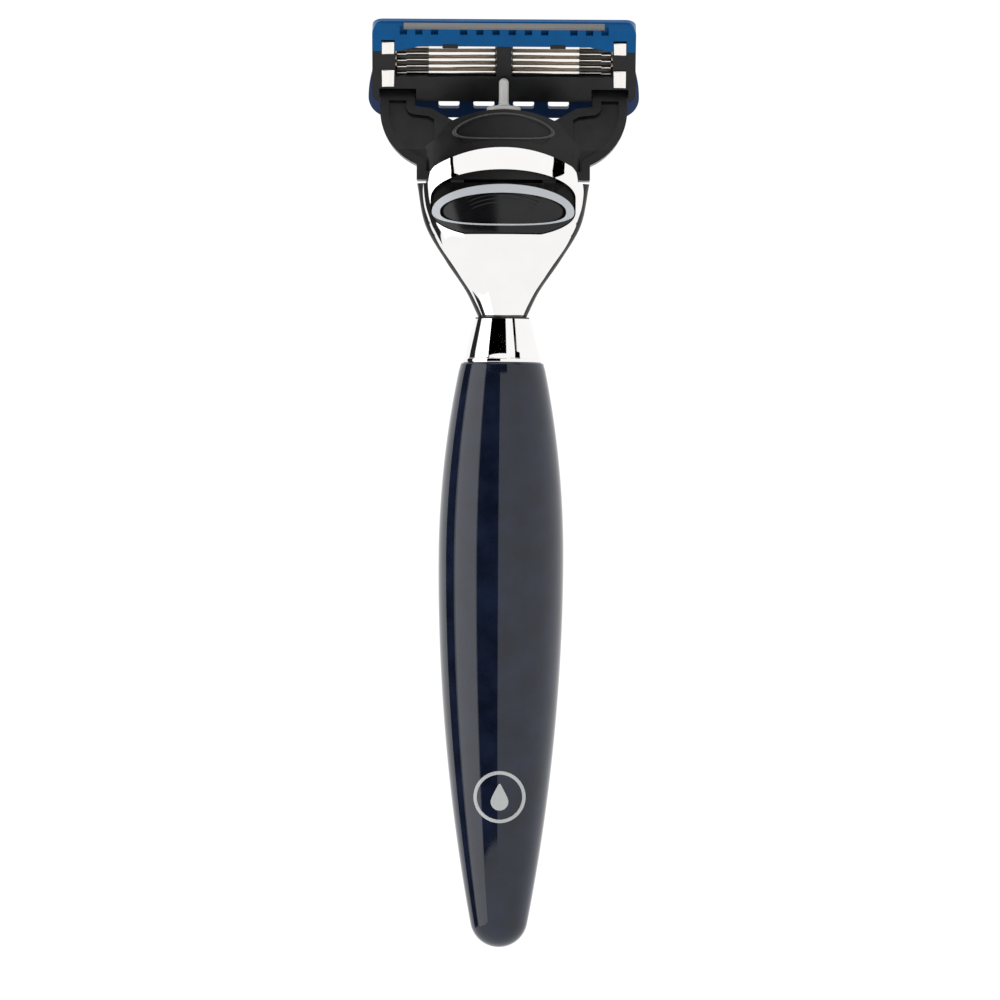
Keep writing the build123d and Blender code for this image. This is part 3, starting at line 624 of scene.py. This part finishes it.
# The arcs bow upward across the dish, each a little wider than the one below it.
arc_rows = 4
arc_radius = 0.0115
arc_pitch = 0.0006
arc_line = 0.00009
arc_centre = 0.0059
arc_depth = 0.0063
arc_floor = 0.00635
arc_floor_half = 0.0122
arc_reach = 0.0048
arc_flare = 0.0003
arc_flatness = 0.9
for row in range(arc_rows):
    bpy.ops.object.select_all(action="DESELECT")
    bpy.ops.mesh.primitive_torus_add(
        major_segments=200, minor_segments=8, major_radius=arc_radius + arc_pitch * row,
        minor_radius=arc_line, location=(0, -arc_depth, arc_centre), rotation=(pi / 2, 0, 0)
    )
    arc = bpy.context.object
    arc.name = f"grip_arc_{row + 1}"
    bpy.ops.object.transform_apply(location=True, rotation=True, scale=True)
    bpy.ops.object.mode_set(mode="EDIT")
    reach = arc_reach + arc_flare * row
    for cut_at, cut_along in (
        ((reach, 0, 0), (1, 0, 0)),
        ((-reach, 0, 0), (-1, 0, 0)),
        ((0, 0, 0.01), (0, 0, -1)),
    ):
        bpy.ops.mesh.select_all(action="SELECT")
        bpy.ops.mesh.bisect(
            plane_co=cut_at, plane_no=cut_along, use_fill=True, clear_outer=True,
            threshold=cut_tolerance
        )
    bpy.ops.object.mode_set(mode="OBJECT")
    for corner in arc.data.vertices:
        floor_here = arc_floor * sqrt(1 - (corner.co.x / arc_floor_half) ** 2)
        corner.co.y = -floor_here + arc_flatness * (corner.co.y + arc_depth)
    tidy(arc)
    dress(arc, gloss_black)
    fit(arc, "button", "gloss_black")

# ------------------------------------------------------------------ head core
# The black nylon heart of the head: it shows as a dark rim round the chromed shells and
# at the foot of the button's opening, and ends in the flat nose that the yoke slips over.
black = finish(
    "satin_black", (0.011, 0.011, 0.012), roughness=0.36, grain=0.3, grain_size=5200.0, mottle=0.25,
    specular=0.28
)
nose_centre = (0, 0, 0.0235)
nose_size = (0.021, 0.0054, 0.0074)
nose_round = 0.0026
heart = turn("core", smooth(core_stations, shell_smoothing), facets=shell_facets)
carve(heart, opening)
nose = block(nose_centre, nose_size)
soften(nose, nose_round, segments=8, angle=60)
carve(heart, nose, "UNION")
tidy(heart)
dress(heart, black)
fit(heart, "handle", "black_plastic", "head_core")
dress_nodes(["neck_washer", "ejector_slider"], black)

# ------------------------------------------------------------------ plunger
# A light grey nylon pin with a round tip that presses on the cartridge's back; its
# broad oval flange sits in the top of the yoke.
nylon = finish(
    "grey_nylon", (0.58, 0.58, 0.56), roughness=0.35, grain=0.2, grain_size=4200.0, mottle=0.06
)
plunger_low, plunger_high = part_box("plunger")
shank_radius = 0.00148
flange_foot = 0.0309
flange_top = 0.0323
flange_half_width = 0.0026
flange_half_depth = 0.0017
tip_radius = 0.00074
tip_round = 0.00072
tip_steps = 8
plunger_stations = [(plunger_low[2], shank_radius, shank_radius), (flange_foot, 0.0015, 0.0015)]
for rise, growth in (
    (0.0, 0.55), (0.12, 0.82), (0.4, 0.96), (0.75, 1.0), (1.1, 0.99), (1.3, 0.93), (1.4, 0.82)
):
    plunger_stations.append(
        (flange_foot + rise / 1000 + 0.00001, flange_half_width * growth, flange_half_depth * growth)
    )
for rise, radius in ((0.02, 1.5), (0.12, 0.95), (0.35, 0.78), (0.8, 0.74)):
    plunger_stations.append((flange_top + rise / 1000, radius / 1000, radius / 1000))
plunger_stations.append((plunger_high[2] - tip_round, tip_radius, tip_radius))
for step in range(1, tip_steps + 1):
    angle = radians(87) * step / tip_steps
    across = tip_radius * cos(angle)
    plunger_stations.append((plunger_high[2] - tip_round * (1 - sin(angle)), across, across))
plunger = turn("plunger_pin", plunger_stations, facets=64)
dress(plunger, nylon)
fit(plunger, "plunger", "grey_plastic", "plunger")

# ------------------------------------------------------------------ yoke
# One black moulding: a saddle that slips over the head's nose, and two curved arms that carry the
# cartridge. A bean-shaped pad with a fine raised border is sunk in the saddle; the border is coloured
# dark grey, lighter than the black, as a painted highlight along the raised edge.
dress_nodes(["yoke"], black)
saddle_half_width = 0.0132
saddle_half_depth = 0.0043
pad_centre = 0.02905
pad_half_width = 0.0077
pad_half_height = 0.0019
pad_bow = 17.0
border_radius = 0.00012


def on_saddle(across):
    """How far back the saddle's surface lies at an X."""
    return -saddle_half_depth * sqrt(1 - (across / saddle_half_width) ** 2)


bpy.ops.object.select_all(action="DESELECT")
bpy.ops.mesh.primitive_torus_add(
    major_segments=160, minor_segments=10, major_radius=pad_half_height, minor_radius=border_radius,
    location=(0, 0, 0), rotation=(pi / 2, 0, 0)
)
border = bpy.context.object
border.name = "pad_border"
bpy.ops.object.transform_apply(location=True, rotation=True, scale=True)


def bean(piece):
    """Stretch a round outline to the pad's bean, bow it down at its ends and lay it on the saddle."""
    for corner in piece.data.vertices:
        reach = sqrt(corner.co.x**2 + corner.co.z**2)
        turned = corner.co.x / max(reach, 1e-9)
        inner = min(reach, pad_half_height)
        across = turned * pad_half_width * inner / pad_half_height + corner.co.x - turned * inner
        corner.co.x = across
        corner.co.z += pad_centre - pad_bow * across**2
        corner.co.y += on_saddle(across)


bean(border)
tidy(border)
# Dark grey, lighter than the yoke's black: a painted highlight along the pad's raised border.
border_painted_highlight = finish("border_painted_highlight", (0.05, 0.05, 0.052), roughness=0.3, grain=0.3, mottle=0.3)
dress(border, border_painted_highlight)
fit(border, "yoke", "black_plastic")

# ------------------------------------------------------------------ cartridge
# Five blades on bent steel supports in a black housing, clasped by two folded strips of
# aluminium, with a blue cap above, a blue guard below and a sixth blade along the top.
blue = finish(
    "blue_plastic", (0.0, 0.085, 0.26), roughness=0.3, grain=0.1, grain_size=5200.0, specular=0.12
)
navy = finish(
    "navy_plastic", (0.008, 0.035, 0.12), roughness=0.35, grain=0.15, grain_size=5200.0, specular=0.3
)
rubber = finish("blue_rubber", (0.01, 0.08, 0.25), roughness=0.55, grain=0.3, grain_size=5200.0)
blade = finish(
    "blade_steel", (0.82, 0.74, 0.66), metallic=1.0, roughness=0.34, grain=0.02, grain_size=900.0,
    stretch=(0.2, 3, 3), mottle=0.04
)
bright = finish(
    "bright_edge", (0.93, 0.91, 0.88), metallic=1.0, roughness=0.16, grain=0.1, grain_size=900.0,
    stretch=(0.2, 3, 3), mottle=0.03
)
aluminium = finish(
    "folded_aluminium", (0.93, 0.9, 0.87), metallic=1.0, roughness=0.25, grain=0.2, grain_size=1400.0,
    stretch=(3, 0.3, 0.3), mottle=0.03
)
# Steel painted dark grey: painted shade on the supports' ends and on the trimmer blade.
steel_painted_shade = finish(
    "steel_painted_shade", (0.2, 0.2, 0.2), metallic=1.0, roughness=0.3, stretch=(0.2, 3, 3)
)
gel = finish("pale_gel", (0.7, 0.8, 0.85), roughness=0.6, grain=0.3, mottle=0.05)
dress_nodes(["rear_cap"], blue)
dress_nodes(["guard"], navy)
dress_nodes(["guard_fins"], rubber)
dress_nodes(["lubricating_strip"], gel)
# The trimmer blade, steel like the blades, takes the dark grey as painted shade.
dress_nodes(["trimmer_blade"], steel_painted_shade)
dress_nodes(["housing"], black)
dress_nodes([f"blade_{number}" for number in range(1, 6)], blade)
cartridge_tilt = radians(28)
cartridge_at = (0.0, 0.0024, 0.0331)


def cartridge_block(across, deep, up, size):
    """A block square to the cartridge, placed in millimetres from its back's lower edge."""
    centre = (
        across / 1000,
        cartridge_at[1] + (deep * cos(cartridge_tilt) - up * sin(cartridge_tilt)) / 1000,
        cartridge_at[2] + (deep * sin(cartridge_tilt) + up * cos(cartridge_tilt)) / 1000,
    )
    return block(centre, [length / 1000 for length in size], cartridge_tilt)


def join(pieces, name):
    """Make one piece of several."""
    bpy.ops.object.select_all(action="DESELECT")
    for piece in pieces:
        piece.select_set(True)
    bpy.context.view_layer.objects.active = pieces[0]
    bpy.ops.object.join()
    joined = bpy.context.object
    joined.name = name
    return joined


sides = (("left", -1), ("right", 1))
clip_place = 17.675
clip_middle = 6.21
for side, hand in sides:
    strap = cartridge_block(hand * clip_place, 1.95, clip_middle, (1.95, 4.5, 7.52))
    carve(strap, cartridge_block(hand * clip_place, 1.975, clip_middle, (3.0, 3.95, 6.92)))
    carve(strap, cartridge_block(hand * clip_place, -1.0, 6.615, (3.0, 2.6, 2.63)))
    tidy(strap)
    soften(strap, 0.00014, segments=3)
    strap.name = f"clip_strap_{side}"
    dress(strap, aluminium)
    fit(strap, "cartridge", "aluminium", f"clip_{side}")

# Each support is a pair of flat plates with a bent bright lip along its back edge, and ends that dip
# in two steps; the ends' plates are steel painted dark grey, as painted shade towards the housing's
# sides.
blade_count = 5
blade_pitch = 1.05
first_blade = 4.5
plate_place = 6.35
plate_length = 10.3
for number in range(1, blade_count + 1):
    up = first_blade + (number - 1) * blade_pitch
    plates = join(
        [
            cartridge_block(hand * plate_place, 1.9, up, (plate_length, 2.5, 0.16))
            for side, hand in sides
        ],
        f"support_{number}",
    )
    soften(plates, 0.00002, segments=2)
    dress(plates, blade)
    fit(plates, f"blade_{number}", "blade_steel", f"blade_support_{number}")
    # The supports' ends in the dark grey steel: painted shade towards the housing's sides.
    ends = join(
        [cartridge_block(hand * 13.9, 2.1, up - 0.12, (5.0, 2.1, 0.12)) for side, hand in sides],
        f"ends_{number}",
    )
    soften(ends, 0.00002, segments=2)
    dress(ends, steel_painted_shade)
    fit(ends, f"blade_{number}", "blade_steel")
    lips = []
    for side, hand in sides:
        lips.append(cartridge_block(hand * plate_place, 0.66, up + 0.1, (plate_length, 0.14, 0.5)))
        lips.append(cartridge_block(hand * 13.2, 0.9, up - 0.02, (3.4, 0.12, 0.16)))
        lips.append(cartridge_block(hand * 15.6, 0.9, up - 0.16, (1.5, 0.12, 0.16)))
    lip = join(lips, f"support_lip_{number}")
    soften(lip, 0.00004, segments=2)
    dress(lip, bright)
    fit(lip, f"blade_{number}", "blade_steel")

for side, hand in sides:
    tab = cartridge_block(hand * 8.2, -0.1, 9.35, (2.4, 0.5, 0.75))
    soften(tab, 0.00012, segments=3)
    tab.name = f"cap_tab_{side}"
    dress(tab, black)
    fit(tab, "cartridge", "black_plastic")

# ------------------------------------------------------------------ studio
# A pale floor and a white room, with black flags that draw the dark lines down the
# polished metal and resin, and one brighter soft light at the left. The flags and the
# light stand out of shot: they are seen only in what they light and in reflections.
floor_size = 8.0
floor_drop = 0.72
room = bpy.data.worlds.new("studio")
bpy.context.scene.world = room
room.use_nodes = True
room.node_tree.nodes["Background"].inputs["Color"].default_value = (1, 1, 1, 1)
room.node_tree.nodes["Background"].inputs["Strength"].default_value = 1.05


def glow(name, strength):
    """A plain glowing surface, or a black one at no strength."""
    material = bpy.data.materials.new(name)
    material.use_nodes = True
    tree = material.node_tree
    tree.nodes.clear()
    light = tree.nodes.new("ShaderNodeEmission")
    light.inputs["Color"].default_value = (1, 1, 1, 1)
    light.inputs["Strength"].default_value = strength
    out = tree.nodes.new("ShaderNodeOutputMaterial")
    tree.links.new(light.outputs["Emission"], out.inputs["Surface"])
    return material


bpy.ops.object.select_all(action="DESELECT")
bpy.ops.mesh.primitive_plane_add(
    size=floor_size, location=(0, 0, cad_bounds[0][2] - floor_drop)
)
floor = bpy.context.object
floor.name = "floor"
dress(floor, glow("floor_white", 1.02))


def panel(name, azimuths, elevations, radius, strength):
    """A patch of a great sphere round the razor; azimuth 0 is at the camera, 90 at its right."""
    bpy.ops.object.select_all(action="DESELECT")
    bpy.ops.mesh.primitive_grid_add(
        x_subdivisions=24, y_subdivisions=12, size=1.0, location=(0, 0, 0)
    )
    patch = bpy.context.object
    patch.name = name
    for corner in patch.data.vertices:
        azimuth = radians(azimuths[0] + (azimuths[1] - azimuths[0]) * (corner.co.x + 0.5))
        elevation = radians(elevations[0] + (elevations[1] - elevations[0]) * (corner.co.y + 0.5))
        corner.co = (
            radius * cos(elevation) * sin(azimuth),
            -radius * cos(elevation) * cos(azimuth),
            radius * sin(elevation),
        )
    dress(patch, glow(name, strength))
    patch.visible_camera = False


panel("left_light", (-93, -47), (-28, 33), 1.5, 2.0)
panel("dark_flag", (-45, -5), (-22, 26), 1.55, 0.0)
panel("ferrule_flag", (-45, 14), (26.1, 32), 1.55, 0.0)
panel("side_flag", (-122, -97), (-25, 30), 1.6, 0.02)
panel("upper_flag_left", (-60, -43), (27, 60), 1.65, 0.0)
panel("upper_flag_right", (43, 60), (27, 60), 1.65, 0.0)
